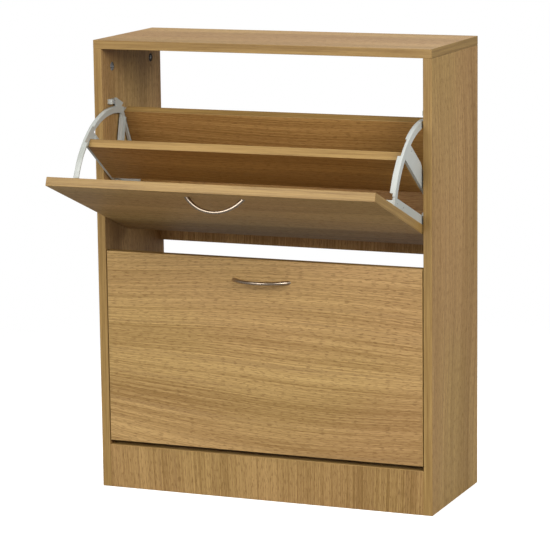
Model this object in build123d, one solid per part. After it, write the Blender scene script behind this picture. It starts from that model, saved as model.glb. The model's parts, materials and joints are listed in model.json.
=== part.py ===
from build123d import *
import os
from math import asin, atan2, cos, degrees, hypot, radians, sin, sqrt

# A shoe cabinet with two tipping flaps. Each flap is a front panel that carries three cross
# shelves between two moulded side brackets, and tips forward about two pins near its foot.
# Frame: X to the right, Y to the back, Z up. The origin is on the floor, at the middle of the
# cabinet's front. The upper flap is tipped open and the lower flap is closed.
# Inside a flap, places are (back, up) from its pins, while the flap is closed.

# Overall sizes
width = 600.0
depth = 237.0
height = 770.0
board = 15.0

# Carcass
plinth_height = 75.0
rail_height = 100.0
rail_drop = 16.5
top_gap = 7.5

# Flaps
open_angle = 69.0
side_gap = 1.5
pin_inset = 14.0
pin_lift = 72.5
swing_clearance = 0.7
foot_clearance = 1.9

# Brackets
bracket_gap = 3.0
plate = 4.5
shelf_end_gap = 0.5
arc_radius = 165.0
arc_band = 11.5
foot_band = 14.0
foot_step = 1.4
foot_cap = 9.0
foot_lift = 1.0
boss_radius = 14.0
boss_proud = 3.0
boss_wall = 6.0
flange = 2.5
flange_width = 14.0
flange_setback = 8.0
spoke_band = 12.0
spoke_rim = 1.8
spoke_rim_start = 60.0
spoke_rim_gap = 17.0
middle_setback = 1.0
middle_tail = 17.0
middle_taper = 0.6
rear_lead = 3.5
rear_tail = 3.0
bottom_tail = 3.0
knob_radius = 5.5
knob_ahead = 22.0
rim_proud = 3.0
ledge = 3.0
ledge_ahead = 10.0
ledge_span = (8.0, 16.0)
ledge_reach = 36.0
pip_radius = 2.0
pip_wall = 1.3
foot_pip_drops = (13.0, 43.0)
foot_pip_inset = 6.0
middle_pip = (18.0, 10.5)

# Rims of the arc: where each starts and ends, in degrees from straight up, and how far it stands
# out from the plate
arc_rims = ((2.0, 25.0, 5.0), (38.5, 68.0, 3.0))

# Shelves: where the front top corner stands inside the arc, as a distance from the arc and an
# angle in degrees from straight up, then the lean from upright in degrees, and the length
middle_inset = 13.6
middle_turn = 25.6
middle_lean = 14.9
middle_length = 110.0
rear_inset = 7.45
rear_turn = 82.8
rear_lean = 42.0
rear_length = 98.0
bottom_lift = 2.5
bottom_rear_gap = 2.7

# Pins and stops
pin_radius = 5.0
pin_running_clearance = 0.05
pin_depth = 10.0
collar_radius = 11.0
collar_gap = 0.3
stop_length = 20.0
stop_height = 8.0
stop_proud = 8.0
stop_inset = 5.0
stop_lift = 5.0
stop_gap = 0.3
nose_height = 14.0
nose_length = 26.0
nose_root = 14.0
nose_tip = 2.5

# Handles
handle_spacing = 96.0
handle_reach = 25.5
handle_radius = 2.75
handle_foot_radius = 3.9
handle_foot_length = 7.0
handle_drop = 36.5

# Fasteners
joint_clearance = 0.1
cam_radius = 7.5
cam_thickness = 12.0
cam_setback = 33.0
cam_edge = 41.0
low_share = 0.3
high_share = 0.7
bolt_radius = 3.5
bolt_grip = 11.0
dowel_radius = 4.0
dowel_length = 30.0
screw_radius = 1.7
screw_length = 12.0
screw_head_radius = 3.4
screw_head = 1.6
panel_screw_lifts = (20.0, 115.0)
panel_screw_drop = 25.0
shelf_screws = (0.2, 0.8)
handle_screw_radius = 2.0
handle_screw_bite = 5.0

# Where the seam of a round bar lies, in degrees around it
seam_turn = 50.0

# Sizes that follow
inside = width / 2 - board
side_height = height - board
pin_back = board + pin_inset
sweep_radius = hypot(pin_back, pin_lift)
plinth_gap = sweep_radius - pin_lift + foot_clearance
flap_gap = sqrt(sweep_radius**2 - pin_inset**2) - pin_lift + swing_clearance
flap_height = (side_height - plinth_height - plinth_gap - flap_gap - top_gap) / 2
lower_pin_height = plinth_height + plinth_gap + pin_lift
upper_pin_height = lower_pin_height + flap_height + flap_gap
rail_bottom = lower_pin_height - pin_lift + flap_height - rail_drop
panel_half = inside - side_gap
plate_outer = inside - bracket_gap
plate_inner = plate_outer - plate
flange_inner = plate_inner - flange_width
shelf_half = plate_inner - shelf_end_gap
foot_top = sqrt(arc_radius**2 - pin_inset**2) - foot_step
middle_down = (-sin(radians(middle_lean)), -cos(radians(middle_lean)))
rear_down = (-sin(radians(rear_lean)), -cos(radians(rear_lean)))
stop_front = stop_inset - pin_inset
stop_bottom = arc_radius + stop_lift
handle_up = flap_height - pin_lift - handle_drop


def block(low, high):
    """A box between two opposite corners."""
    size = [high[i] - low[i] for i in range(3)]
    return Pos(*low) * Box(*size, align=(Align.MIN, Align.MIN, Align.MIN))


def rod(start, way, radius, length):
    """A round bar that starts at a point and runs one way. Its seam is turned away from the
    directions in which the bolt holes meet the cam pockets."""
    return extrude(Plane(origin=start, z_dir=way) * Rot(0, 0, seam_turn) * Circle(radius), length)


def step(point, way, distance):
    """The point that far along a way."""
    return tuple(point[i] + way[i] * distance for i in range(3))


def across(outline, x_from, x_to):
    """An outline drawn in (back, up), made solid from one X to another."""
    return extrude(Plane.YZ.offset(x_from) * outline, x_to - x_from, dir=(1, 0, 0))


def rectangle(back, up):
    """A rectangle given by its span to the back and its span upwards."""
    return Polygon((back[0], up[0]), (back[1], up[0]), (back[1], up[1]), (back[0], up[1]), align=None)


def around(radius, angle):
    """The point that far from the pin, at an angle counted from straight up to the back."""
    return (radius * sin(radians(angle)), radius * cos(radians(angle)))


def on_shelf(corner, down, along, behind):
    """The point that far down a leaning shelf from its front top corner, and behind its front face."""
    return (
        corner[0] + down[0] * along - down[1] * behind,
        corner[1] + down[1] * along + down[0] * behind,
    )


def leaning(corner, down, along, behind):
    """A rectangle on a leaning shelf: its span down the shelf and its span behind the front face."""
    places = ((along[0], behind[0]), (along[1], behind[0]), (along[1], behind[1]), (along[0], behind[1]))
    return Polygon(*[on_shelf(corner, down, *place) for place in places], align=None)


def ring_part(inner, outer, start, end):
    """Part of a ring around the pin, between two angles counted from straight up to the back."""
    middle = (start + end) / 2
    return make_face(
        [
            ThreePointArc(around(outer, start), around(outer, middle), around(outer, end)),
            Line(around(outer, end), around(inner, end)),
            ThreePointArc(around(inner, end), around(inner, middle), around(inner, start)),
            Line(around(inner, start), around(outer, start)),
        ]
    )


# Shelf outlines in (back, up)
middle_corner = around(arc_radius - middle_inset, middle_turn)
rear_corner = around(arc_radius - rear_inset, rear_turn)
middle_outline = leaning(middle_corner, middle_down, (0, middle_length), (0, board))
rear_outline = leaning(rear_corner, rear_down, (0, rear_length), (0, board))
bottom_back = on_shelf(rear_corner, rear_down, rear_length, 0)[0] - bottom_rear_gap
bottom_top = bottom_lift - pin_lift + board
bottom_outline = rectangle((-pin_inset, bottom_back), (bottom_top - board, bottom_top))


def bracket_screw_seats():
    """Where the screws stand: a point on a flange's free face, and the way the screw goes in."""
    middle_in = (middle_down[1], -middle_down[0])
    rear_in = (rear_down[1], -rear_down[0])
    panel_screws = [bottom_top + lift for lift in panel_screw_lifts] + [foot_top - panel_screw_drop]
    seats = [((flange - pin_inset, up), (-1, 0)) for up in panel_screws]
    for share in shelf_screws:
        seats.append((on_shelf(middle_corner, middle_down, middle_length * share, board + flange), middle_in))
        seats.append((on_shelf(rear_corner, rear_down, rear_length * share, board + flange), rear_in))
        seats.append(((bottom_back * share, bottom_top + flange), (0, -1)))
    return [
        ((side * (flange_inner + flange_width / 2), *point), (0, *way))
        for point, way in seats
        for side in (-1, 1)
    ]


def bracket_screws():
    """The screws that hold both brackets to the panel and to the shelves."""
    screws = []
    for point, way in bracket_screw_seats():
        head = rod(step(point, way, -screw_head), way, screw_head_radius, screw_head)
        screws.append(head + rod(point, way, screw_radius, screw_length))
    return screws


def bracket_screw_holes():
    """Round holes for those screws."""
    bore = screw_radius + joint_clearance
    return [rod(point, way, bore, screw_length + joint_clearance) for point, way in bracket_screw_seats()]


def nose():
    """The catch on the arc, in (back, up): its front edge meets the stop when the flap is open."""
    turn = radians(open_angle)
    contact = stop_front + stop_length + stop_gap
    foot = arc_radius - arc_band / 2
    opened = (
        (contact, foot),
        (contact, arc_radius + nose_height),
        (contact + nose_length, arc_radius + nose_tip),
        (contact + nose_root, foot),
    )
    closed = [(y * cos(turn) + z * sin(turn), -y * sin(turn) + z * cos(turn)) for y, z in opened]
    return Polygon(*closed, align=None)


def arc_end():
    """The angle from straight up at which the arc meets the rear shelf."""
    return degrees(atan2(*rear_corner))


def on_spoke(along, beside):
    """A rectangle on the spoke that runs from the pin to the end of the arc."""
    return Rot(0, 0, 90 - arc_end()) * rectangle(along, beside)


def knob_place():
    """The middle of the middle spoke's rounded lower end."""
    across_spoke = (middle_setback + board) / 2
    return Pos(*on_shelf(middle_corner, middle_down, middle_length + knob_ahead, across_spoke))


def pip_places():
    """The middles of the round moulding holes in the plate. The last one has a boss behind it."""
    pips = [(foot_pip_inset - pin_inset, foot_top - drop) for drop in foot_pip_drops]
    pips.append(on_shelf(middle_corner, middle_down, middle_pip[0], board + middle_pip[1]))
    return [Pos(*pip) for pip in pips]


def bracket_outlines():
    """The outlines in (back, up) that make up the bracket's plate."""
    foot_bottom = foot_lift - pin_lift
    foot = rectangle((-pin_inset, foot_band - pin_inset), (foot_bottom, foot_top))
    rear_end = on_shelf(rear_corner, rear_down, rear_length, board)
    floor = rectangle((-pin_inset, rear_end[0] - board / 2), (foot_bottom, bottom_top + bottom_tail))
    arc = ring_part(arc_radius - arc_band, arc_radius, 0, arc_end())
    end = middle_length + knob_ahead
    tail = board + middle_tail
    corners = ((-board, middle_setback), (end, middle_setback), (end, board))
    corners += ((middle_length * middle_taper, tail), (-board, tail))
    middle = Polygon(*[on_shelf(middle_corner, middle_down, *place) for place in corners], align=None)
    lug = leaning(middle_corner, middle_down, (end, end + ledge_ahead + ledge), ledge_span)
    rear = leaning(rear_corner, rear_down, (0, rear_length + rear_tail), (-rear_lead, board + rear_tail))
    spoke = on_spoke((0, hypot(*rear_corner)), (-spoke_band / 2, spoke_band / 2))
    knob = knob_place() * Circle(knob_radius)
    boss = Circle(boss_radius)
    disc = Circle(arc_radius)
    return foot, floor, arc, middle & disc, lug, rear & disc, spoke, knob, boss, nose()


def proud_outlines():
    """The outlines of what stands out from the plate on its inner side, each with its height."""
    rims = [(ring_part(arc_radius - flange, arc_radius, start, end), tall) for start, end, tall in arc_rims]
    span = (spoke_rim_start, arc_radius - spoke_rim_gap)
    edge = spoke_band / 2
    rims.append((on_spoke(span, (edge - spoke_rim, edge)), rim_proud))
    rims.append((on_spoke(span, (-edge, spoke_rim - edge)), rim_proud))
    rims.append((knob_place() * Circle(knob_radius), rim_proud))
    rims.append((pip_places()[-1] * Circle(pip_radius + pip_wall), rim_proud))
    middle_ends = (flange_setback, middle_length - flange_setback)
    rear_ends = (flange_setback, rear_length - flange_setback)
    flanges = (
        rectangle((-pin_inset, flange - pin_inset), (bottom_top, foot_top)),
        rectangle((-pin_inset, foot_cap - pin_inset), (foot_top - flange, foot_top)),
        leaning(middle_corner, middle_down, middle_ends, (board, board + flange)),
        leaning(rear_corner, rear_down, rear_ends, (board, board + flange)),
        rectangle((-pin_inset, bottom_back - flange_setback), (bottom_top, bottom_top + flange)),
    )
    return rims + [(outline, flange_width) for outline in flanges]


def ledge_outline():
    """The outline of the long ledge that only the left bracket has, beside its knob."""
    start = middle_length + knob_ahead + ledge_ahead
    return leaning(middle_corner, middle_down, (start, start + ledge), ledge_span)


def bracket(has_ledge):
    """The moulded frame at the right end of the shelves. The left one is its mirror image, and has
    a ledge."""
    body = across(Circle(pin_radius + boss_wall), plate_inner - boss_proud, plate_outer)
    for outline in bracket_outlines():
        body += across(outline, plate_inner, plate_outer)
    for outline, tall in proud_outlines():
        body += across(outline, plate_inner - tall, plate_inner)
    if has_ledge:
        body += across(ledge_outline(), plate_inner - ledge_reach, plate_inner)
    for pip in pip_places():
        body -= across(pip * Circle(pip_radius), plate_inner, plate_outer)
    bore = Circle(pin_radius + pin_running_clearance)
    return body - across(bore, plate_inner - boss_proud, plate_outer)


def handle():
    """A bowed bar on two round feet, in front of the closed panel."""
    face = -pin_back
    half = handle_spacing / 2
    bow = handle_reach - handle_radius
    radius = (half**2 + bow**2) / (2 * bow)
    centre = face - bow + radius
    turn = Axis((0, centre, 0), (0, 0, 1))
    sweep = 2 * degrees(asin(half / radius))
    section = Plane.YZ * Pos(centre - radius, handle_up) * Circle(handle_radius)
    shape = revolve(section.rotate(turn, -sweep / 2), axis=turn, revolution_arc=sweep)
    for side in (-1, 1):
        shape += rod((side * half, face, handle_up), (0, -1, 0), handle_foot_radius, handle_foot_length)
    behind = block((-handle_spacing, face, 0), (handle_spacing, 0, flap_height))
    return shape - behind


def handle_screw(side, grow):
    """The shank of one handle screw, or its hole when grown by a clearance."""
    start = (side * handle_spacing / 2, -pin_inset, handle_up)
    return rod(start, (0, -1, 0), handle_screw_radius + grow, board + handle_screw_bite + grow)


def handle_screws():
    """The two machine screws that hold the handle, with their heads inside the flap."""
    screws = []
    for side in (-1, 1):
        start = (side * handle_spacing / 2, -pin_inset, handle_up)
        head = rod(start, (0, 1, 0), 2 * handle_screw_radius, handle_screw_radius)
        screws.append(handle_screw(side, 0) + head)
    return screws


def flap_pieces():
    """One closed flap about its own pin line: each piece by name, as a list of solids."""
    holes = bracket_screw_holes()
    grip_holes = [handle_screw(side, joint_clearance) for side in (-1, 1)]
    panel = block((-panel_half, -pin_back, -pin_lift), (panel_half, -pin_inset, flap_height - pin_lift))
    return {
        "front_panel": [panel - holes - grip_holes],
        "handle": [handle() - grip_holes],
        "handle_screws": handle_screws(),
        "right_bracket": [bracket(False) - holes],
        "left_bracket": [mirror(bracket(True) - holes, about=Plane.YZ)],
        "middle_shelf": [across(middle_outline, -shelf_half, shelf_half) - holes],
        "rear_shelf": [across(rear_outline, -shelf_half, shelf_half) - holes],
        "bottom_shelf": [across(bottom_outline, -shelf_half, shelf_half) - holes],
        "bracket_screws": bracket_screws(),
    }


def cam_joints():
    """Each cam joint of the carcass: a point on the joint, the way into the board that holds the
    cam, and the way to the face where the cam shows."""
    joints = []
    for side in (-1, 1):
        inward = (-side, 0, 0)
        top_x = side * (inside + board / 2)
        edge = side * inside
        for back in (cam_edge, depth - cam_edge):
            joints.append(((top_x, back, side_height), (0, 0, -1), inward))
        joints.append(((edge, board / 2, (plinth_height - board) * high_share), inward, (0, 1, 0)))
        for back in (board + cam_edge, depth - cam_edge):
            joints.append(((edge, back, plinth_height - board / 2), inward, (0, 0, -1)))
        for share in (low_share, high_share):
            up = rail_bottom + rail_height * share
            joints.append(((edge, depth - board / 2, up), inward, (0, 1, 0)))
    return joints


def cam_locks(grow):
    """The cam locks, or their pockets when grown by a clearance."""
    locks = []
    for point, way, face in cam_joints():
        mouth = step(step(point, way, cam_setback), face, board / 2)
        back = step((0, 0, 0), face, -1)
        locks.append(rod(mouth, back, cam_radius + grow, cam_thickness + grow))
    return locks


def cam_bolts():
    """The cam bolts, from the board that they are screwed into to the cam's rim."""
    length = bolt_grip + cam_setback - cam_radius - joint_clearance
    return [rod(step(point, way, -bolt_grip), way, bolt_radius, length) for point, way, _ in cam_joints()]


def bolt_holes():
    """The holes for the cam bolts, which run on to the middle of the cam."""
    bore = bolt_radius + joint_clearance
    length = bolt_grip + cam_setback
    return [rod(step(point, way, -bolt_grip), way, bore, length) for point, way, _ in cam_joints()]


def dowels(grow):
    """The wooden dowels of the carcass, or their holes when grown by a clearance."""
    joints = []
    for side in (-1, 1):
        inward = (-side, 0, 0)
        joints.append(((side * (inside + board / 2), depth / 2, side_height), (0, 0, -1)))
        joints.append(((side * inside, board / 2, (plinth_height - board) * low_share), inward))
        joints.append(((side * inside, (board + depth) / 2, plinth_height - board / 2), inward))
        joints.append(((side * inside, depth - board / 2, rail_bottom + rail_height / 2), inward))
    start = -bolt_grip - grow
    return [rod(step(p, way, start), way, dowel_radius + grow, dowel_length + 2 * grow) for p, way in joints]


def pivot_pin(side, pin_height):
    """A pin with a collar, pressed into a side panel."""
    inward = (-side, 0, 0)
    face = (side * inside, pin_back, pin_height)
    root = step(face, inward, -pin_depth)
    tip = inside - plate_inner + boss_proud
    collar = rod(face, inward, collar_radius, bracket_gap - collar_gap)
    return rod(root, inward, pin_radius, pin_depth + tip) + collar


def pin_socket(side, pin_height):
    """The blind hole in the side panel for a pivot pin."""
    face = (side * inside, pin_back, pin_height)
    return rod(face, (side, 0, 0), pin_radius + joint_clearance, pin_depth + joint_clearance)


def stop_centre(side, pin_height):
    """The middle of a stop block's face on the side panel."""
    back = pin_back + stop_front + stop_length / 2
    return (side * inside, back, pin_height + stop_bottom + stop_height / 2)


def stop_screw(side, pin_height, grow):
    """The screw that holds a stop block, or its hole when grown by a clearance."""
    inward = (-side, 0, 0)
    start = step(stop_centre(side, pin_height), inward, stop_proud)
    outward = (side, 0, 0)
    head = rod(start, outward, screw_head_radius + grow, screw_head + grow)
    return head + rod(start, outward, screw_radius + grow, stop_proud + screw_length - screw_head + grow)


def stop_block(side, pin_height):
    """The block that the bracket's nose meets when the flap is open."""
    x, back, up = stop_centre(side, pin_height)
    low_x, high_x = sorted((x, x - side * stop_proud))
    low = (low_x, back - stop_length / 2, up - stop_height / 2)
    high = (high_x, back + stop_length / 2, up + stop_height / 2)
    return block(low, high) - stop_screw(side, pin_height, joint_clearance)


def put(node, solids):
    """Write the solids of one named piece."""
    export_step(Compound(solids), f"parts/{node}.step")


def write_flap(name, pin_height, angle):
    """Place one flap on its pins, tipped open by an angle, and write its pieces."""
    place = Location((0, pin_back, pin_height), (angle, 0, 0))
    for piece, shapes in flap_pieces().items():
        put(f"{name}_{piece}", [solid.moved(place) for shape in shapes for solid in shape.solids()])


def write_carcass():
    """Write the boards that stand still, with what joins them and what the flaps turn on."""
    flaps = {"lower": lower_pin_height, "upper": upper_pin_height}
    cuts = cam_locks(joint_clearance) + bolt_holes() + dowels(joint_clearance)
    stop_screws = []
    for name, up in flaps.items():
        for side_name, side in (("left", -1), ("right", 1)):
            put(f"{name}_{side_name}_pivot_pin", pivot_pin(side, up).solids())
            put(f"{name}_{side_name}_stop_block", stop_block(side, up).solids())
            stop_screws += stop_screw(side, up, 0).solids()
            cuts += [pin_socket(side, up), stop_screw(side, up, joint_clearance)]
    front_of_rail = depth - board
    rail_top = rail_bottom + rail_height
    boards = {
        "left_side_panel": block((-width / 2, 0, 0), (-inside, depth, side_height)),
        "right_side_panel": block((inside, 0, 0), (width / 2, depth, side_height)),
        "top_panel": block((-width / 2, 0, side_height), (width / 2, depth, height)),
        "plinth": block((-inside, 0, 0), (inside, board, plinth_height)),
        "bottom_panel": block((-inside, board, plinth_height - board), (inside, depth, plinth_height)),
        "back_rail": block((-inside, front_of_rail, rail_bottom), (inside, depth, rail_top)),
    }
    for name, shape in boards.items():
        put(name, (shape - cuts).solids())
    put("cam_locks", [solid for lock in cam_locks(0) for solid in lock.solids()])
    put("cam_bolts", [solid for bolt in cam_bolts() for solid in bolt.solids()])
    put("dowels", [solid for dowel in dowels(0) for solid in dowel.solids()])
    put("stop_screws", stop_screws)


os.makedirs("parts", exist_ok=True)
write_carcass()
write_flap("lower", lower_pin_height, 0)
write_flap("upper", upper_pin_height, open_angle)
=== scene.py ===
import json
from math import asin, atan2, cos, pi, radians, sin, sqrt
from random import Random

import bmesh
import bpy
from bpy.props import FloatProperty, FloatVectorProperty, PointerProperty
from mathutils import Matrix, Vector


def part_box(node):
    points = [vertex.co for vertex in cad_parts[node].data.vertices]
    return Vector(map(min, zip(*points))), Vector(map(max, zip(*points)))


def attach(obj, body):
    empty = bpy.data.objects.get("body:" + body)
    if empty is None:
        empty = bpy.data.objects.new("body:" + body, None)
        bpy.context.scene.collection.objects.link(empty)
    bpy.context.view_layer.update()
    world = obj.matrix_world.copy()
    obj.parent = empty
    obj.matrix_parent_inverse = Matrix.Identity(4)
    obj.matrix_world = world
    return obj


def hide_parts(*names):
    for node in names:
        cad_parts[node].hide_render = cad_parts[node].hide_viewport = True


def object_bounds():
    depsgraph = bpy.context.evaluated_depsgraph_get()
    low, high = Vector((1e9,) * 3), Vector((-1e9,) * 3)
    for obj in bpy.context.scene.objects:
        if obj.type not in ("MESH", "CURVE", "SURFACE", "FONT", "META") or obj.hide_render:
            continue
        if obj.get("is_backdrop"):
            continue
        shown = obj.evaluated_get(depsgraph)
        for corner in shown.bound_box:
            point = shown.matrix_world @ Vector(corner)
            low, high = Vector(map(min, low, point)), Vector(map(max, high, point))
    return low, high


bl_info = {
    "name": "Shoe cabinet",
    "version": (1, 0, 0),
    "blender": (4, 5, 0),
    "location": "View3D > Sidebar > Shoe cabinet",
    "description": "Finishes a shoe cabinet with two tipping flaps around its frame",
    "category": "Add Mesh",
}

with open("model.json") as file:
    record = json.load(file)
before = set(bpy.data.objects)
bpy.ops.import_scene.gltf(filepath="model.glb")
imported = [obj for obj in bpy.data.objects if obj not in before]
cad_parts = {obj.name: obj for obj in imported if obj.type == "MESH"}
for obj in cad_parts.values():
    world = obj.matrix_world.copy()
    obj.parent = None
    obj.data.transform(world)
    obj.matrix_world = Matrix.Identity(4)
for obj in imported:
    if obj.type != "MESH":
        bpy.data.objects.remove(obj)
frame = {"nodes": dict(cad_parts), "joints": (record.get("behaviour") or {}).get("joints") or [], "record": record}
cad_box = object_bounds()

# What the frame says of each node
node_body = {
    node: body for body, nodes in frame["record"]["behaviour"]["bodies"].items() for node in nodes
}
flaps = ("lower", "upper")
sides = ("left", "right")

# Boards by node, with the axis that their grain follows
grain_of_board = {
    "left_side_panel": "Z",
    "right_side_panel": "Z",
    "top_panel": "X",
    "plinth": "Z",
    "bottom_panel": "X",
    "back_rail": "Z",
}
for flap in flaps:
    for board in ("front_panel", "middle_shelf", "rear_shelf", "bottom_shelf"):
        grain_of_board[f"{flap}_{board}"] = "X"
axes = {"X": Vector((1, 0, 0)), "Z": Vector((0, 0, 1))}

# Names of the maps that a board's foil follows, in metres
grain_map = "grain"
near_map = "near_edges"
far_map = "far_edges"

# Limits for reading and shading the meshes, in metres and square metres
merge_distance = 0.000002
end_distance = merge_distance * 10
step_into_air = 0.001
small_board_face = 0.00002
small_moulding_face = 0.0002
every_face = 1.0
flat_angle = radians(0.6)
sharp_angle = radians(35)
whole_turn = 2 * pi

# Places of some outputs and inputs on their nodes
object_place = 3
ray_from_camera = 0
mix_share = 0
mix_colours = (6, 7)
mixed_colour = 2
vector_length = 1

# How often each pattern repeats, in waves per metre, along and across the grain of the wood
foil_waves = {
    "drift": (1.1, 1.7, 1),
    "bands": (0.7, 13, 1),
    "rings": (0.9, 105, 1),
    "streaks": (2.6, 520, 1),
    "flecks": (60, 900, 1),
    "dashes": (85, 560, 1),
    "patches": (2.1, 4.3, 1),
    "edge_wobble": (90, 90, 1),
}
band_waves = {"bands": (1.8, 120, 1), "streaks": (12, 620, 1), "dashes": (70, 1300, 1)}
plastic_waves = {"flow": (16, 9, 9), "grain": (2600, 2600, 2600), "scuffs": (260, 45, 120)}
nickel_waves = {"brushed": (60, 2400, 2400), "marks": (140, 180, 180)}
zinc_waves = {"patches": (420, 420, 420), "grain": (2400, 2400, 2400)}
beech_waves = {"grain": (60, 700, 700), "flecks": (300, 900, 900)}
floor_waves = (30, 30, 30)

# The oak foil: how far its lines wander in metres, how dark its lines and pores are, how pale its
# edge line is (partly the band's end, partly a painted highlight), and how unevenly it runs in metres
wander = 0.15
line_depth = 0.42
pore_depth = 0.4
edge_line_and_highlight = 0.4
edge_line_wobble = 0.0004

# Laying the foil: each board starts somewhere on a length of it, drawn from one seed, and the board's
# other directions start a step further on, all in metres
foil_length = 5
foil_seed = 11
foil_step = 0.37

# A face gets foil if its normal lies this close to the way through the board, and it can be a board's
# widest face if its normal lies less close than this to the grain
flat_share = 0.97
across_share = 0.5

# The bow handle: its rings round and along, and where and how fast it grows towards its feet
bar_sides = 20
bar_steps = 48
growth_start = 0.35
growth_power = 1.6

# Screws: the head's height and the shank's radius as shares of the head's radius, the neck, the core
# and the tip as shares of the shank's, the thread's start in metres and the turns that it tapers over
screw_sides = 20
screw_head = 0.47
screw_shank = 0.5
shank_neck = 0.8
thread_core = 0.74
thread_start = 0.0004
thread_taper = 3
screw_tip = 0.2

# A fastener's two ends are alike when the smaller one has more than this share of the larger one's area
alike = 0.9

# Cross recesses: reach and arm as shares of the radius, depth as a share of the height, and the size
# of the floor as a share of the mouth
pan_recess = (0.5, 0.11, 0.7)
flat_recess = (0.55, 0.12, 0.8)
cam_recess = (0.52, 0.13, 0.3)
recess_floor = 0.72

# Turned profiles from the top down: shares of the radius, and of the height or the length
pan_head_profile = ((0.66, 0), (0.88, 0.16), (1, 0.5), (1, 1))
flat_head_profile = ((0.95, 0), (1, 0.1))
cam_profile = ((1, 0.3), (0.93, 0.34), (0.93, 0.72), (1, 0.76), (1, 1))
bolt_collar_profile = ((0.62, 0.66), (1, 0.67), (1, 0.71), (0.95, 0.72))
# The ball at a cam bolt's tip: shares of the radius, and depths in metres
bolt_ball_profile = ((0.6, 0), (0.9, 0.0008), (0.9, 0.0024), (0.62, 0.0034))
# A cam bolt's thread: its radius as a share of the bolt's, and its start as a share of the length
bolt_thread = (0.95, 0.73)
# Cam locks: the sides of their circles, and the chamfer as a share of the radius
cam_sides = 36
cam_chamfer = 0.06

# Dowels: the sides of their circles, the chamfer and the floor of a flute as shares of the radius, and
# the rings that each flute crosses
dowel_sides = 32
dowel_chamfer = 0.25
dowel_flute = 0.95
rings_of_dowel = 4

# How far a pin's corners are rounded, in metres
pin_corner = 0.0004

# The stage: half the floor's side, where the floor starts and ends to fade, and its own glow
floor_reach = 2.4
floor_fade = (0.5, 1.6)
floor_glow = 0.55
# Between these heights of view the daylight grows from its lower to its upper strength
horizon = (-0.15, 0.65)
# The width of the camera's sensor in millimetres
sensor_width = 36

# Each studio light: its place, the point that it looks at, its side in metres, its power in watts
studio_lights = {
    "key_light": ((-1.2, -3.0, 2.2), (0, 0, 0.5), 2.4, 56),
    "fill_light": ((2.8, -1.9, 1.8), (0, 0.1, 0.6), 1.3, 68),
    "front_light": ((-0.3, -3.4, 0.9), (0, 0, 0.6), 1.0, 16),
    "top_light": ((0, 1.2, 2.2), (0, 0.1, 0.77), 0.8, 10.5),
}


def paint(red, green, blue):
    """An opaque linear colour from the 0 to 255 values of a paint chart."""
    shares = [value / 255 for value in (red, green, blue)]
    linear = [
        share / 12.92 if share <= 0.04045 else ((share + 0.055) / 1.055) ** 2.4 for share in shares
    ]
    return (*linear, 1.0)


def colour(name, description, default):
    """A colour that a user can change."""
    return FloatVectorProperty(
        name=name, description=description, default=default, size=4, min=0, max=1, subtype="COLOR"
    )


def length(name, description, default):
    """A size in metres that a user can change."""
    return FloatProperty(name=name, description=description, default=default, min=0, unit="LENGTH")


def angle(name, description, default):
    """An angle that a user can change."""
    return FloatProperty(name=name, description=description, default=default, subtype="ANGLE")


def number(name, description, default):
    """A plain number that a user can change."""
    return FloatProperty(name=name, description=description, default=default, min=0)


class OakSettings(bpy.types.PropertyGroup):
    """The foil and the edge band of the boards."""

    light: colour("Light grain", "The foil's lightest wood", paint(203, 166, 112))
    dark: colour("Dark grain", "The foil's darkest wood", paint(150, 115, 68))
    pore: colour("Pores", "The short dark dashes in the wood", paint(112, 78, 42))
    band_light: colour("Light edge", "The edge band's lightest streaks", paint(178, 144, 86))
    band_dark: colour("Dark edge", "The edge band's darkest streaks", paint(136, 104, 54))
    # Painted shade: the shelves stand in the shade of the niche, and this colour darkens their foil and makes it
    # richer, as light bounced between the boards would
    painted_shelf_shade: colour("Shelf tint", "What makes the shelves' foil richer", paint(233, 220, 194))
    # Painted shade: this colour darkens the plinth's foil, as the light falls off towards the floor
    painted_plinth_shade: colour("Plinth tint", "What makes the plinth's foil darker", paint(236, 234, 229))
    corner: length("Corner", "How far a board's corners are broken", 0.0007)
    # The pale edge line is partly the band's end and partly a painted highlight
    band_line: length("Edge line", "How wide the edge band's end grain shows on a face", 0.0006)


class PlasticSettings(bpy.types.PropertyGroup):
    """The moulded brackets and the stop blocks."""

    body: colour("Plastic", "The moulded grey", paint(200, 203, 198))
    shade: colour("Flow marks", "The slightly darker grey of the flow marks", paint(180, 183, 176))
    corner: length("Corner", "How far the mouldings' corners are rounded", 0.0004)


class HandleSettings(bpy.types.PropertyGroup):
    """The bow handles."""

    metal: colour("Nickel", "The plated surface", paint(176, 160, 142))
    waist: length("Waist", "The bar's radius in the middle", 0.0029)
    foot: length("Foot", "The bar's radius where it meets the panel", 0.0038)


class FittingSettings(bpy.types.PropertyGroup):
    """The screws, cams, bolts, pins and dowels."""

    zinc: colour("Zinc", "Bright zinc plate", paint(196, 198, 200))
    dull: colour("Dull zinc", "The duller patches of the plate", paint(150, 150, 148))
    beech: colour("Beech", "The bare wood of the dowels", paint(222, 190, 142))
    thread_pitch: length("Thread pitch", "The distance between two turns of a screw thread", 0.0016)


class StageSettings(bpy.types.PropertyGroup):
    """The camera, the floor and the studio lights."""

    azimuth: angle("Azimuth", "How far the camera stands round to the right", radians(22.34))
    elevation: angle("Elevation", "How high the camera stands above the horizon", radians(10.3))
    roll: angle("Roll", "How far the camera is turned about its own line of sight", radians(-0.7))
    distance: length("Distance", "From the camera to the point that it looks at", 4.597)
    height: length("Height", "How high the camera looks above the floor", 0.388)
    sideways: length("Sideways", "How far right of the middle the camera looks", 0.025)
    lens: number("Lens", "The camera's focal length in millimetres", 181.5)
    floor: colour("Floor", "The pale studio floor", paint(250, 250, 250))
    bounce: colour("Floor bounce", "The grey of the floor as the cabinet is lit by it", paint(150, 150, 150))
    daylight: number("Daylight", "The strength of the even light from above", 0.74)
    underlight: number("Underlight", "The strength of the even light from below", 0.3)


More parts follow.
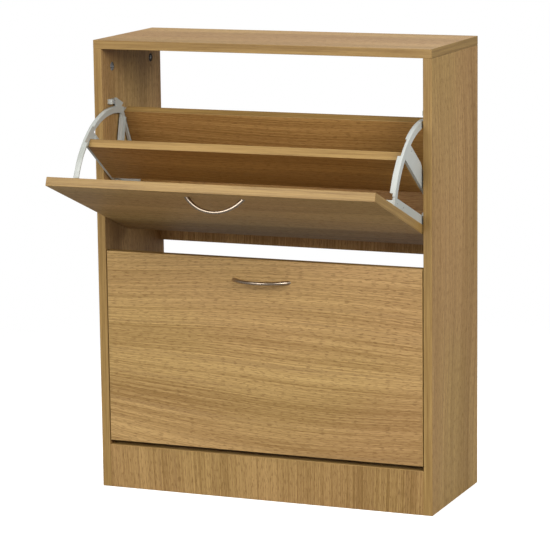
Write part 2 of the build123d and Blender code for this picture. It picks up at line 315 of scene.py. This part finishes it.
class Wire:
    """A shader socket that takes part in sums. Each sum adds its Math node."""

    def __init__(self, finish, socket):
        self.finish = finish
        self.socket = socket

    def maths(self, operation, first, second):
        return self.finish.add("Math", {"operation": operation}, {0: first, 1: second})

    def __add__(self, other):
        return self.maths("ADD", self, other)

    def __radd__(self, other):
        return self.maths("ADD", other, self)

    def __sub__(self, other):
        return self.maths("SUBTRACT", self, other)

    def __rsub__(self, other):
        return self.maths("SUBTRACT", other, self)

    def __mul__(self, other):
        return self.maths("MULTIPLY", self, other)


class Finish:
    """The nodes of a material or a world while they are being added."""

    def __init__(self, owner):
        owner.use_nodes = True
        self.owner = owner
        self.tree = owner.node_tree
        self.tree.nodes.clear()

    def add(self, kind, settings=None, sockets=None, output=0):
        """Adds a node. Its settings are set first, then the values or links of its sockets."""
        node = self.tree.nodes.new("ShaderNode" + kind)
        for name, value in (settings or {}).items():
            setattr(node, name, value)
        for name, value in (sockets or {}).items():
            if isinstance(value, Wire):
                self.tree.links.new(value.socket, node.inputs[name])
            else:
                node.inputs[name].default_value = value
        return Wire(self, node.outputs[output]) if node.outputs else None

    def smallest(self, *wires):
        """The smallest of some values."""
        result = wires[0]
        for wire in wires[1:]:
            result = result.maths("MINIMUM", result, wire)
        return result

    def between(self, value, low, high):
        """0 where a value is below one limit, 1 where it is above the other, and smooth in between."""
        limits = {"Value": value, "From Min": low, "From Max": high}
        return self.add("MapRange", {"interpolation_type": "SMOOTHSTEP"}, limits)

    def blend(self, share, first, second, way="MIX"):
        """Mixes two colours."""
        sockets = {mix_share: share, mix_colours[0]: first, mix_colours[1]: second}
        return self.add("Mix", {"data_type": "RGBA", "blend_type": way}, sockets, mixed_colour)

    def own_place(self):
        """A point's place in its object's own coordinates."""
        return self.add("TexCoord", None, None, object_place)

    def part(self, place, index):
        """One of the three parts of a place."""
        return self.add("SeparateXYZ", None, {"Vector": place}, index)

    def noise(self, place, stretch, detail=3.0, roughness=0.55, distortion=0.0):
        """A noise between 0 and 1 that is stretched along an axis."""
        placed = self.add("Mapping", None, {"Vector": place, "Scale": stretch})
        sockets = {"Vector": placed, "Scale": 1.0, "Detail": detail, "Roughness": roughness}
        sockets["Distortion"] = distortion
        return self.add("TexNoise", {"noise_dimensions": "3D"}, sockets)

    def bump(self, height, depth, strength=1.0):
        """A fine relief whose highest point stands that far above its lowest."""
        return self.add("Bump", None, {"Height": height, "Distance": depth, "Strength": strength})

    def close(self, **sockets):
        """Ends the material with its one surface shader."""
        inputs = {name.replace("_", " "): value for name, value in sockets.items()}
        surface = self.add("BsdfPrincipled", None, inputs)
        self.add("OutputMaterial", None, {"Surface": surface})
        return self.owner


def new_finish(name):
    """An empty material of that name."""
    return Finish(bpy.data.materials.new(name))


def wood_places(finish):
    """A board's own map: the place on the foil, and its parts along and across the grain."""
    place = finish.add("UVMap", {"uv_map": grain_map})
    return place, finish.part(place, 0), finish.part(place, 1)


def distance_to_edge(finish):
    """How far a point on a face is from that face's nearest edge."""
    found = []
    for name in (near_map, far_map):
        place = finish.add("UVMap", {"uv_map": name})
        found += [finish.part(place, index) for index in (0, 1)]
    return finish.smallest(*found)


def oak_foil(oak, name, painted_shade):
    """Light oak foil: faint broad bands, long thin waving lines, short flecks, pores, a pale edge line that is
    partly the band's end and partly a painted highlight, and the painted shade that it is given.
    """
    finish = new_finish(name)
    place, along, across = wood_places(finish)
    drift = finish.noise(place, foil_waves["drift"], 1.0, 0.4)
    wavy = finish.add("CombineXYZ", None, {"X": along, "Y": across + (drift - 0.5) * wander})
    bands = finish.noise(wavy, foil_waves["bands"], 2.0, 0.5)
    rings = finish.noise(wavy, foil_waves["rings"], 2.0, 0.55)
    streaks = finish.noise(wavy, foil_waves["streaks"], 2.0, 0.6)
    flecks = finish.noise(wavy, foil_waves["flecks"], 1.0, 0.5)
    dashes = finish.noise(wavy, foil_waves["dashes"], 1.0, 0.5)
    lines = finish.between(rings, 0.56, 0.61) * finish.between(streaks, 0.42, 0.55)
    pores = finish.between(dashes, 0.56, 0.62)
    tone = bands * 0.26 + rings * 0.22 + streaks * 0.36 + flecks * 0.16
    wood = finish.blend(finish.between(tone, 0.38, 0.62), tuple(oak.dark), tuple(oak.light))
    patches = finish.noise(place, foil_waves["patches"], 1.0, 0.5)
    warm = finish.blend(finish.between(patches, 0.3, 0.7), paint(255, 251, 250), paint(252, 255, 243))
    # Multiplies in the random warm patches, then the painted shade given for this copy of the foil
    toned_and_shaded = finish.blend(1.0, finish.blend(1.0, wood, warm, "MULTIPLY"), painted_shade, "MULTIPLY")
    lined = finish.blend(lines * line_depth, toned_and_shaded, tuple(oak.pore))
    pored = finish.blend(pores * pore_depth, lined, tuple(oak.pore))
    # Painted highlight: a thin pale line along each face's edges, partly the edge band's end seen on the face and
    # partly the highlight of the broken corner
    edge_wobble = finish.noise(place, foil_waves["edge_wobble"], 3.0, 0.6)
    edge = distance_to_edge(finish) + (edge_wobble - 0.5) * edge_line_wobble
    line = 1 - finish.between(edge, oak.band_line * 0.5, oak.band_line * 1.5)
    edge_highlighted = finish.blend(line * edge_line_and_highlight, pored, tuple(oak.light))
    rough = 0.5 + (streaks - 0.5) * 0.14 + pores * 0.1
    relief = finish.bump(streaks * 0.3 + flecks * 0.3 - pores * 0.6, 0.00012, 0.7)
    return finish.close(Base_Color=edge_highlighted, Roughness=rough, Normal=relief, Specular_IOR_Level=0.24)


def oak_band(oak):
    """The edge band: straight fine streaks of a slightly yellower oak, a little glossier."""
    finish = new_finish("oak_edge_band")
    place = finish.add("UVMap", {"uv_map": grain_map})
    bands = finish.noise(place, band_waves["bands"], 2.0, 0.5)
    streaks = finish.noise(place, band_waves["streaks"], 3.0, 0.65)
    dashes = finish.noise(place, band_waves["dashes"], 2.0, 0.6)
    pores = finish.between(dashes, 0.58, 0.68)
    shade = finish.between(bands * 0.5 + streaks * 0.5, 0.33, 0.67)
    wood = finish.blend(shade, tuple(oak.band_dark), tuple(oak.band_light))
    pored = finish.blend(pores * 0.25, wood, tuple(oak.pore))
    rough = 0.42 + (streaks - 0.5) * 0.16
    relief = finish.bump(streaks * 0.5 - pores * 0.5, 0.0001, 0.7)
    return finish.close(Base_Color=pored, Roughness=rough, Normal=relief, Specular_IOR_Level=0.38)


def moulded_plastic(plastic):
    """Light grey moulded plastic: faint flow marks, a fine spark-eroded grain and small scuffs."""
    finish = new_finish("moulded_grey_plastic")
    place = finish.own_place()
    flow = finish.noise(place, plastic_waves["flow"], 2.0, 0.5, 0.6)
    grain = finish.noise(place, plastic_waves["grain"], 2.0, 0.6)
    scuffs = finish.between(finish.noise(place, plastic_waves["scuffs"], 4.0, 0.7), 0.6, 0.74)
    body = finish.blend(finish.between(flow, 0.3, 0.7), tuple(plastic.shade), tuple(plastic.body))
    scuffed = finish.blend(scuffs * 0.25, body, paint(222, 224, 220))
    rough = 0.42 + (grain - 0.5) * 0.2 + scuffs * 0.12
    relief = finish.bump(grain * 0.6 + flow * 0.4, 0.00006, 0.6)
    return finish.close(Base_Color=scuffed, Roughness=rough, Normal=relief, Specular_IOR_Level=0.5)


def satin_nickel(handle):
    """Satin nickel plate: fine brush lines along the bar, with faint handling marks."""
    finish = new_finish("satin_nickel")
    place = finish.own_place()
    brushed = finish.noise(place, nickel_waves["brushed"], 2.0, 0.6)
    marks = finish.between(finish.noise(place, nickel_waves["marks"], 3.0, 0.6), 0.52, 0.7)
    metal = finish.blend(marks * 0.35, tuple(handle.metal), paint(132, 114, 94))
    rough = 0.24 + brushed * 0.08 + marks * 0.08
    relief = finish.bump(brushed, 0.000004, 0.3)
    return finish.close(Base_Color=metal, Roughness=rough, Normal=relief, Metallic=1.0)


def zinc_plate(fitting):
    """Bright zinc plate: dull patches between shiny ones, and a fine crystal grain."""
    finish = new_finish("zinc_plate")
    place = finish.own_place()
    patches = finish.noise(place, zinc_waves["patches"], 3.0, 0.6)
    grain = finish.noise(place, zinc_waves["grain"], 2.0, 0.6)
    metal = finish.blend(finish.between(patches, 0.4, 0.65), tuple(fitting.zinc), tuple(fitting.dull))
    rough = 0.4 + patches * 0.2
    relief = finish.bump(grain, 0.00001, 0.4)
    return finish.close(Base_Color=metal, Roughness=rough, Normal=relief, Metallic=0.55)


def bare_beech(fitting):
    """Bare beech with short flecks."""
    finish = new_finish("bare_beech")
    place = finish.own_place()
    grain = finish.noise(place, beech_waves["grain"], 3.0, 0.6)
    flecks = finish.between(finish.noise(place, beech_waves["flecks"], 2.0, 0.6), 0.56, 0.68)
    wood = finish.blend(flecks * 0.4, tuple(fitting.beech), paint(170, 126, 82))
    rough = 0.6 + (grain - 0.5) * 0.2
    relief = finish.bump(grain, 0.0001, 0.7)
    return finish.close(Base_Color=wood, Roughness=rough, Normal=relief)


def finished(node, finish_word, mesh, *materials):
    """Makes the shown piece from its mesh: it stands for a node and moves with that node's body."""
    name = f"{finish_word}_{node}"
    data = bpy.data.meshes.new(name)
    mesh.to_mesh(data)
    mesh.free()
    for material in materials:
        data.materials.append(material)
    piece = bpy.data.objects.new(name, data)
    bpy.context.scene.collection.objects.link(piece)
    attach(piece, node_body[node])
    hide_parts(node)
    return piece


def whole_copy(node):
    """A copy of a node's mesh with its loose triangles joined and its flat faces made whole."""
    mesh = bmesh.new()
    mesh.from_mesh(frame["nodes"][node].data)
    for layer in list(mesh.loops.layers.uv.values()):
        mesh.loops.layers.uv.remove(layer)
    bmesh.ops.remove_doubles(mesh, verts=mesh.verts, dist=merge_distance)
    bmesh.ops.dissolve_limit(
        mesh, angle_limit=flat_angle, verts=mesh.verts, edges=mesh.edges, use_dissolve_boundaries=False
    )
    for face in mesh.faces:
        face.material_index = 0
    return mesh


def break_edges(mesh, edges, width, segments=3):
    """Rounds edges to a small radius."""
    bmesh.ops.bevel(
        mesh,
        geom=edges,
        offset=width,
        offset_type="OFFSET",
        affect="EDGES",
        segments=segments,
        profile=0.5,
        material=-1,
        clamp_overlap=True,
    )


def shade_smooth(mesh, largest_flat):
    """Shades the small faces smooth across all but the sharp edges, and leaves large faces flat."""
    for face in mesh.faces:
        face.smooth = face.calc_area() < largest_flat
    for edge in mesh.edges:
        edge.smooth = edge.calc_face_angle(0) < sharp_angle


class BoardFrame:
    """A board's own directions, along and across the grain and through its thickness, with its ends."""

    def __init__(self, mesh, along):
        across = [face for face in mesh.faces if abs(face.normal.dot(along)) < across_share]
        widest = max(across, key=area_of)
        self.ways = (along, widest.normal.cross(along), widest.normal.copy())
        spans = [[vert.co.dot(way) for vert in mesh.verts] for way in self.ways]
        self.low = [min(span) for span in spans]
        self.high = [max(span) for span in spans]

    def places(self, point):
        return [point.dot(way) for way in self.ways]

    def is_corner(self, edge):
        """Whether an edge is one of the board's twelve."""
        at_end = [0, 0, 0]
        for vert in edge.verts:
            for part, place in enumerate(self.places(vert.co)):
                ends = (self.low[part], self.high[part])
                at_end[part] += any(abs(place - end) < end_distance for end in ends)
        first, second = (self.places(vert.co) for vert in edge.verts)
        same_end = [abs(first[part] - second[part]) < end_distance for part in range(3)]
        return sum(count == 2 and same for count, same in zip(at_end, same_end)) == 2

    def facing(self, normal):
        """Which of the three directions a face looks along."""
        shares = [abs(normal.dot(way)) for way in self.ways]
        return shares.index(max(shares)), max(shares)


def area_of(face):
    return face.calc_area()


def lay_foil(mesh, board, slide):
    """Lays the grain over a board: along it on its faces and long edges, and along the band on its ends."""
    grain = mesh.loops.layers.uv.new(grain_map)
    near = mesh.loops.layers.uv.new(near_map)
    far = mesh.loops.layers.uv.new(far_map)
    shown_parts = {0: (1, 2), 1: (0, 2), 2: (0, 1)}
    for face in mesh.faces:
        way, share = board.facing(face.normal)
        face.material_index = 0 if way == 2 and share > flat_share else 1
        first, second = shown_parts[way]
        for loop in face.loops:
            place = board.places(loop.vert.co)
            loop[grain].uv = (place[first] + slide[0], place[second] + slide[1] + way * foil_step)
            loop[near].uv = (place[first] - board.low[first], place[second] - board.low[second])
            loop[far].uv = (board.high[first] - place[first], board.high[second] - place[second])


class CABINET_OT_boards(bpy.types.Operator):
    """Cover every board with oak foil and edge band, with its corners broken"""

    bl_idname = "cabinet.boards"
    bl_label = "Boards"

    def execute(self, context):
        oak = context.scene.cabinet_oak
        band = oak_band(oak)
        foils = {
            # The shelves and the plinth get copies of the foil with painted shade multiplied in, and the other
            # boards get the foil with none
            "shelf": oak_foil(oak, "oak_foil_of_shelves_in_painted_shade", tuple(oak.painted_shelf_shade)),
            "plinth": oak_foil(oak, "oak_foil_of_plinth_in_painted_shade", tuple(oak.painted_plinth_shade)),
            "": oak_foil(oak, "oak_foil", paint(255, 255, 255)),
        }
        draw = Random(foil_seed)
        for node, axis in grain_of_board.items():
            mesh = whole_copy(node)
            board = BoardFrame(mesh, axes[axis])
            corners = [edge for edge in mesh.edges if board.is_corner(edge)]
            break_edges(mesh, corners, oak.corner)
            lay_foil(mesh, board, (draw.uniform(0, foil_length), draw.uniform(0, foil_length)))
            shade_smooth(mesh, small_board_face)
            foil = next(foil for word, foil in foils.items() if word in node)
            finished(node, "oak", mesh, foil, band)
        return {"FINISHED"}


def rounded_copy(node, width):
    """A copy of a node with all its sharp edges rounded."""
    mesh = whole_copy(node)
    sharp = [edge for edge in mesh.edges if edge.calc_face_angle(0) > sharp_angle]
    break_edges(mesh, sharp, width, 2)
    shade_smooth(mesh, small_moulding_face)
    return mesh


class CABINET_OT_brackets(bpy.types.Operator):
    """Mould the four brackets and the four stop blocks in grey plastic"""

    bl_idname = "cabinet.brackets"
    bl_label = "Brackets and stops"

    def execute(self, context):
        plastic = context.scene.cabinet_plastic
        material = moulded_plastic(plastic)
        for flap in flaps:
            for side in sides:
                for piece in ("bracket", "stop_block"):
                    node = f"{flap}_{side}_{piece}"
                    finished(node, "plastic", rounded_copy(node, plastic.corner), material)
        return {"FINISHED"}


def flap_place(flap):
    """The turn and move from a closed flap about its pins to where the flap rests."""
    joint = next(joint for joint in frame["joints"] if joint["child"] == f"{flap}_flap")
    opened = radians(-joint["range_deg"][0])
    return Matrix.Translation(joint["pos_m"]) @ Matrix.Rotation(opened, 4, "X")


def closed_corners(node, place):
    """The lowest and highest corners of a node while its flap is closed, about the flap's pins."""
    points = [place.inverted() @ vert.co for vert in frame["nodes"][node].data.vertices]
    low = Vector([min(point[part] for point in points) for part in range(3)])
    high = Vector([max(point[part] for point in points) for part in range(3)])
    return low, high


def draw_out(mesh, edges):
    """Extrudes a ring of edges, and returns the new ring's vertices and edges."""
    made = bmesh.ops.extrude_edge_only(mesh, edges=edges)["geom"]
    verts = [item for item in made if isinstance(item, bmesh.types.BMVert)]
    return verts, [item for item in made if isinstance(item, bmesh.types.BMEdge)]


def bowed_bar(flap, handle):
    """An even round bar bent to the handle's bow, in front of its closed flap."""
    place = flap_place(flap)
    low, high = closed_corners(f"{flap}_handle", place)
    face = closed_corners(f"{flap}_front_panel", place)[0].y
    up = (low.z + high.z) / 2
    half = high.x - handle.foot
    bow = face - low.y - handle.waist
    radius = (half**2 + bow**2) / (2 * bow)
    centre = Vector((0, face - bow + radius, up))
    reach = asin(half / radius)
    mesh = bmesh.new()
    ring = bmesh.ops.create_circle(mesh, segments=bar_sides, radius=handle.waist)["verts"]
    bmesh.ops.rotate(mesh, verts=ring, cent=(0, 0, 0), matrix=Matrix.Rotation(pi / 2, 3, "Y"))
    bmesh.ops.translate(mesh, verts=ring, vec=centre - Vector((0, radius, 0)))
    bmesh.ops.rotate(mesh, verts=ring, cent=centre, matrix=Matrix.Rotation(-reach, 3, "Z"))
    edges = list(mesh.edges)
    turn = Matrix.Rotation(2 * reach / bar_steps, 3, "Z")
    for _ in range(bar_steps):
        ring, edges = draw_out(mesh, edges)
        bmesh.ops.rotate(mesh, verts=ring, cent=centre, matrix=turn)
    return mesh, place, centre, radius, reach, face


class CABINET_OT_handles(bpy.types.Operator):
    """Bend the two bow handles"""

    bl_idname = "cabinet.handles"
    bl_label = "Handles"

    def execute(self, context):
        handle = context.scene.cabinet_handle
        material = satin_nickel(handle)
        for flap in flaps:
            mesh, place, centre, radius, reach, face = bowed_bar(flap, handle)
            foot_run = handle.foot * 2
            growth = handle.foot / handle.waist - 1
            for vert in mesh.verts:
                turned = atan2(vert.co.x - centre.x, centre.y - vert.co.y)
                share = min(1.0, abs(turned) / reach)
                middle = centre + Vector((sin(turned) * radius, -cos(turned) * radius, 0))
                grown = max(0.0, (share - growth_start) / (1 - growth_start)) ** growth_power
                swell = 1 + growth * grown
                vert.co = middle + (vert.co - middle) * swell
            for side in (-1, 1):
                rim = [edge for edge in mesh.edges if edge.is_boundary and edge.verts[0].co.x * side > 0]
                ring, _ = draw_out(mesh, rim)
                way = Vector((side * cos(reach), sin(reach), 0)) * foot_run
                bmesh.ops.translate(mesh, verts=ring, vec=way)
            geometry = mesh.verts[:] + mesh.edges[:] + mesh.faces[:]
            bmesh.ops.bisect_plane(
                mesh, geom=geometry, plane_co=(0, face, 0), plane_no=(0, 1, 0), clear_outer=True
            )
            bmesh.ops.holes_fill(mesh, edges=[edge for edge in mesh.edges if edge.is_boundary])
            bmesh.ops.recalc_face_normals(mesh, faces=mesh.faces)
            bmesh.ops.transform(mesh, matrix=place, verts=mesh.verts)
            shade_smooth(mesh, every_face)
            finished(f"{flap}_handle", "nickel", mesh, material)
        return {"FINISHED"}


def solids_of(mesh):
    """The faces of each separate solid in a mesh."""
    seen = set()
    for start in mesh.faces:
        if start in seen:
            continue
        seen.add(start)
        found = [start]
        for face in found:
            for edge in face.edges:
                for other in edge.link_faces:
                    if other not in seen:
                        seen.add(other)
                        found.append(other)
        yield found


def is_open_air(point):
    """Whether a point lies outside all the boards of the carcass."""
    for node in grain_of_board:
        if node_body[node] == "carcass":
            low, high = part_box(node)
            if all(low[part] < point[part] < high[part] for part in range(3)):
                return False
    return True


def seats_of(node):
    """Each fastener of a node: the place that puts its head at the origin, facing up, its head's
    radius and its length."""
    mesh = whole_copy(node)
    found = []
    for faces in solids_of(mesh):
        caps = sorted(faces, key=area_of, reverse=True)[:2]
        free = [cap for cap in caps if is_open_air(cap.calc_center_median() + cap.normal * step_into_air)]
        same_size = area_of(caps[1]) > alike * area_of(caps[0])
        cap = free[0] if same_size and free else caps[0]
        deep = [cap.normal.dot(cap.verts[0].co - vert.co) for face in faces for vert in face.verts]
        turn = cap.normal.to_track_quat("Z", "X").to_matrix().to_4x4()
        place = Matrix.Translation(cap.calc_center_median()) @ turn
        found.append((place, sqrt(area_of(cap) / pi), max(deep)))
    mesh.free()
    return found


def cross_recess(mesh, reach, arm, depth):
    """A cross-shaped recess at the origin, sunk below Z = 0. Returns the edges round its mouth."""
    bmesh.ops.create_grid(mesh, x_segments=3, y_segments=3, size=reach)
    corners = [face for face in mesh.faces if min(map(abs, face.calc_center_median().xy)) > reach / 3]
    bmesh.ops.delete(mesh, geom=corners, context="FACES")
    for vert in mesh.verts:
        for part in (0, 1):
            if abs(vert.co[part]) < reach / 2:
                vert.co[part] = arm if vert.co[part] > 0 else -arm
    floor = bmesh.ops.extrude_face_region(mesh, geom=mesh.faces[:], use_keep_orig=False)["geom"]
    verts = [item for item in floor if isinstance(item, bmesh.types.BMVert)]
    bmesh.ops.scale(mesh, verts=verts, vec=(recess_floor, recess_floor, 1))
    bmesh.ops.translate(mesh, verts=verts, vec=(0, 0, -depth))
    return [edge for edge in mesh.edges if all(abs(vert.co.z) < 1e-9 for vert in edge.verts)]


def turned_body(rings, segments, recess):
    """A round body with its top at the origin, facing up: each ring is a radius and a depth. The top
    has a cross recess unless the recess is None."""
    mesh = bmesh.new()
    rim = []
    if recess:
        rim = cross_recess(mesh, *recess)
    top_radius, top_depth = rings[0]
    circle = bmesh.ops.create_circle(mesh, segments=segments, radius=top_radius)["verts"]
    outer = list({edge for vert in circle for edge in vert.link_edges})
    bmesh.ops.translate(mesh, verts=circle, vec=(0, 0, -top_depth))
    if recess:
        bmesh.ops.bridge_loops(mesh, edges=rim + outer)
    else:
        bmesh.ops.edgeloop_fill(mesh, edges=outer)
    for radius, depth in rings[1:]:
        ring, outer = draw_out(mesh, outer)
        size = radius / ring[0].co.xy.length
        bmesh.ops.scale(mesh, verts=ring, vec=(size, size, 1))
        bmesh.ops.translate(mesh, verts=ring, vec=(0, 0, -depth - ring[0].co.z))
    bmesh.ops.edgeloop_fill(mesh, edges=outer)
    bmesh.ops.recalc_face_normals(mesh, faces=mesh.faces)
    return mesh


def thread(radius, start, end, pitch):
    """The rings of a screw thread, which ends in a point."""
    rings = []
    count = max(1, round((end - start) / pitch))
    for turn in range(count):
        depth = start + turn * pitch
        taper = min(1.0, (count - turn) / thread_taper)
        rings += [(radius * thread_core * taper, depth), (radius * taper, depth + pitch / 2)]
    return [ring for ring in rings if ring[1] < end] + [(radius * screw_tip, end)]


def scaled(profile, radius, height):
    """A profile's rings at a radius and a height."""
    return [(radius * wide, height * deep) for wide, deep in profile]


def sunk(recess, radius, height):
    """A cross recess at a radius and a height."""
    reach, arm, depth = recess
    return radius * reach, radius * arm, height * depth


def place_copies(node, finish_word, make, material):
    """Puts a turned body at each fastener of a node, in one piece."""
    joined = bmesh.new()
    for place, radius, depth in seats_of(node):
        body = make(radius, depth)
        shade_smooth(body, every_face)
        bmesh.ops.transform(body, matrix=place, verts=body.verts)
        data = bpy.data.meshes.new("one_fastener")
        body.to_mesh(data)
        body.free()
        joined.from_mesh(data)
        bpy.data.meshes.remove(data)
    return finished(node, finish_word, joined, material)


class CABINET_OT_screws(bpy.types.Operator):
    """Drive the screws of the brackets, the handles and the stops"""

    bl_idname = "cabinet.screws"
    bl_label = "Screws"

    def execute(self, context):
        fitting = context.scene.cabinet_fitting
        material = zinc_plate(fitting)

        def pan_head(radius, depth):
            head = radius * screw_head
            shank = radius * screw_shank
            rings = scaled(pan_head_profile, radius, head) + [(shank * shank_neck, head)]
            rings += thread(shank, head + thread_start, depth, fitting.thread_pitch)
            return turned_body(rings, screw_sides, sunk(pan_recess, radius, head))

        def flat_head(radius, depth):
            head = radius * screw_head
            shank = radius * screw_shank
            rings = scaled(flat_head_profile, radius, head) + [(shank * shank_neck, head)]
            rings += thread(shank, head + thread_start, depth, fitting.thread_pitch)
            return turned_body(rings, screw_sides, sunk(flat_recess, radius, head))

        for flap in flaps:
            place_copies(f"{flap}_bracket_screws", "steel", pan_head, material)
            place_copies(f"{flap}_handle_screws", "steel", pan_head, material)
        place_copies("stop_screws", "steel", flat_head, material)
        return {"FINISHED"}


class CABINET_OT_cam_fittings(bpy.types.Operator):
    """Fit the cam locks, the cam bolts, the dowels and the pivot pins"""

    bl_idname = "cabinet.cam_fittings"
    bl_label = "Cams, bolts, dowels and pins"

    def execute(self, context):
        fitting = context.scene.cabinet_fitting
        zinc = zinc_plate(fitting)

        def cam_lock(radius, depth):
            chamfer = radius * cam_chamfer
            rings = [(radius - chamfer, 0), (radius, chamfer)] + scaled(cam_profile, radius, depth)
            return turned_body(rings, cam_sides, sunk(cam_recess, radius, depth))

        def cam_bolt(radius, depth):
            rings = scaled(bolt_ball_profile, radius, 1) + scaled(bolt_collar_profile, radius, depth)
            wide, start = bolt_thread
            rings += thread(radius * wide, depth * start, depth, fitting.thread_pitch)
            return turned_body(rings, screw_sides, None)

        def dowel(radius, depth):
            chamfer = radius * dowel_chamfer
            rings = [(radius - chamfer, 0), (radius, chamfer)]
            rings += [(radius, depth - chamfer), (radius - chamfer, depth)]
            body = turned_body(rings, dowel_sides, None)
            for index, vert in enumerate(sorted(body.verts, key=turn_of)):
                if index // rings_of_dowel % 2:
                    vert.co.xy *= dowel_flute
            return body

        place_copies("cam_locks", "steel", cam_lock, zinc)
        place_copies("cam_bolts", "steel", cam_bolt, zinc)
        place_copies("dowels", "beech", dowel, bare_beech(fitting))
        for flap in flaps:
            for side in sides:
                node = f"{flap}_{side}_pivot_pin"
                finished(node, "steel", rounded_copy(node, pin_corner), zinc)
        return {"FINISHED"}


def turn_of(vert):
    """A vertex's angle about Z, rounded so that the vertices of one line sort together."""
    return round(atan2(vert.co.y, vert.co.x) % whole_turn, 4)


def studio_floor(stage):
    """A pale floor that fades out at its far edges and throws back little light."""
    finish = new_finish("studio_floor")
    place = finish.own_place()
    apart = finish.add("VectorMath", {"operation": "LENGTH"}, {0: place}, vector_length)
    fade = finish.between(apart, *floor_fade)
    speckle = finish.noise(place, floor_waves, 3.0, 0.6)
    tone = finish.blend(speckle * 0.04, tuple(stage.floor), paint(238, 238, 236))
    seen = finish.add("LightPath", None, None, ray_from_camera)
    matt = finish.add("BsdfDiffuse", None, {"Color": finish.blend(seen, tuple(stage.bounce), tone)})
    glow = finish.add("Emission", None, {"Color": tuple(stage.floor), "Strength": seen * floor_glow})
    lit = finish.add("AddShader", None, {0: matt, 1: glow})
    clear = finish.add("BsdfTransparent")
    mixed = finish.add("MixShader", None, {0: fade, 1: lit, 2: clear})
    finish.add("OutputMaterial", None, {"Surface": mixed})
    return finish.owner


def soft_box(name, place, target, size, power):
    """A square studio light that looks at a point."""
    light = bpy.data.lights.new(name, "AREA")
    light.shape = "SQUARE"
    light.size = size
    light.energy = power
    lamp = bpy.data.objects.new(name, light)
    lamp.location = place
    lamp.rotation_mode = "QUATERNION"
    lamp.rotation_quaternion = (Vector(target) - Vector(place)).to_track_quat("-Z", "Y")
    bpy.context.scene.collection.objects.link(lamp)


def even_daylight(stage):
    """An even light, stronger from above than from below, behind a white background."""
    finish = Finish(bpy.data.worlds.new("daylight"))
    place = finish.add("TexCoord")
    height = finish.part(place, 2)
    limits = {"Value": height, "From Min": horizon[0], "From Max": horizon[1]}
    limits.update({"To Min": stage.underlight, "To Max": stage.daylight})
    strength = finish.add("MapRange", {"interpolation_type": "SMOOTHSTEP"}, limits)
    cast = finish.add("Background", None, {"Strength": strength})
    seen = finish.add("Background", None, {"Color": (1, 1, 1, 1)})
    rays = finish.add("LightPath", None, None, ray_from_camera)
    mixed = finish.add("MixShader", None, {0: rays, 1: cast, 2: seen})
    finish.add("OutputWorld", None, {"Surface": mixed})
    bpy.context.scene.world = finish.owner


class CABINET_OT_stage(bpy.types.Operator):
    """Set up the floor, the studio lights and the camera"""

    bl_idname = "cabinet.stage"
    bl_label = "Stage"

    def execute(self, context):
        stage = context.scene.cabinet_stage
        mesh = bmesh.new()
        bmesh.ops.create_grid(mesh, x_segments=2, y_segments=2, size=floor_reach)
        data = bpy.data.meshes.new("floor")
        mesh.to_mesh(data)
        mesh.free()
        data.materials.append(studio_floor(stage))
        floor = bpy.data.objects.new("floor", data)
        context.scene.collection.objects.link(floor)
        floor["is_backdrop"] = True
        even_daylight(stage)
        for name, (place, target, size, power) in studio_lights.items():
            soft_box(name, place, target, size, power)
        self.set_camera(context, stage)
        context.scene.view_settings.view_transform = "Standard"
        return {"FINISHED"}

    def set_camera(self, context, stage):
        level = cos(stage.elevation)
        back = Vector((sin(stage.azimuth) * level, -cos(stage.azimuth) * level, sin(stage.elevation)))
        data = bpy.data.cameras.new("camera")
        data.lens = stage.lens
        data.sensor_width = sensor_width
        camera = bpy.data.objects.new("camera", data)
        look = (-back).to_track_quat("-Z", "Y").to_matrix().to_4x4()
        target = Vector((stage.sideways, 0, stage.height))
        spin = Matrix.Rotation(stage.roll, 4, "Z")
        camera.matrix_world = Matrix.Translation(target + back * stage.distance) @ look @ spin
        context.scene.collection.objects.link(camera)
        context.scene.camera = camera


operators = (
    CABINET_OT_boards,
    CABINET_OT_brackets,
    CABINET_OT_handles,
    CABINET_OT_screws,
    CABINET_OT_cam_fittings,
    CABINET_OT_stage,
)
settings = {
    "cabinet_oak": OakSettings,
    "cabinet_plastic": PlasticSettings,
    "cabinet_handle": HandleSettings,
    "cabinet_fitting": FittingSettings,
    "cabinet_stage": StageSettings,
}


class VIEW3D_PT_shoe_cabinet(bpy.types.Panel):
    """The cabinet's settings, and a button for each step"""

    bl_label = "Shoe cabinet"
    bl_space_type = "VIEW_3D"
    bl_region_type = "UI"
    bl_category = "Shoe cabinet"

    def draw(self, context):
        for name, group in settings.items():
            box = self.layout.box()
            box.label(text=group.__doc__)
            for field in group.__annotations__:
                box.prop(getattr(context.scene, name), field)
        for operator in operators:
            self.layout.operator(operator.bl_idname)


def register():
    for group in settings.values():
        bpy.utils.register_class(group)
    for name, group in settings.items():
        setattr(bpy.types.Scene, name, PointerProperty(type=group))
    for operator in operators:
        bpy.utils.register_class(operator)
    bpy.utils.register_class(VIEW3D_PT_shoe_cabinet)


def unregister():
    bpy.utils.unregister_class(VIEW3D_PT_shoe_cabinet)
    for operator in reversed(operators):
        bpy.utils.unregister_class(operator)
    for name, group in settings.items():
        delattr(bpy.types.Scene, name)
        bpy.utils.unregister_class(group)


def main():
    register()
    bpy.ops.cabinet.stage()
    bpy.ops.cabinet.boards()
    bpy.ops.cabinet.brackets()
    bpy.ops.cabinet.handles()
    bpy.ops.cabinet.screws()
    bpy.ops.cabinet.cam_fittings()
    boxes = {"cad": cad_box, "visual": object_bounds()}
    {name: [list(corner) for corner in box] for name, box in boxes.items()}


if __name__ == "__main__":
    main()
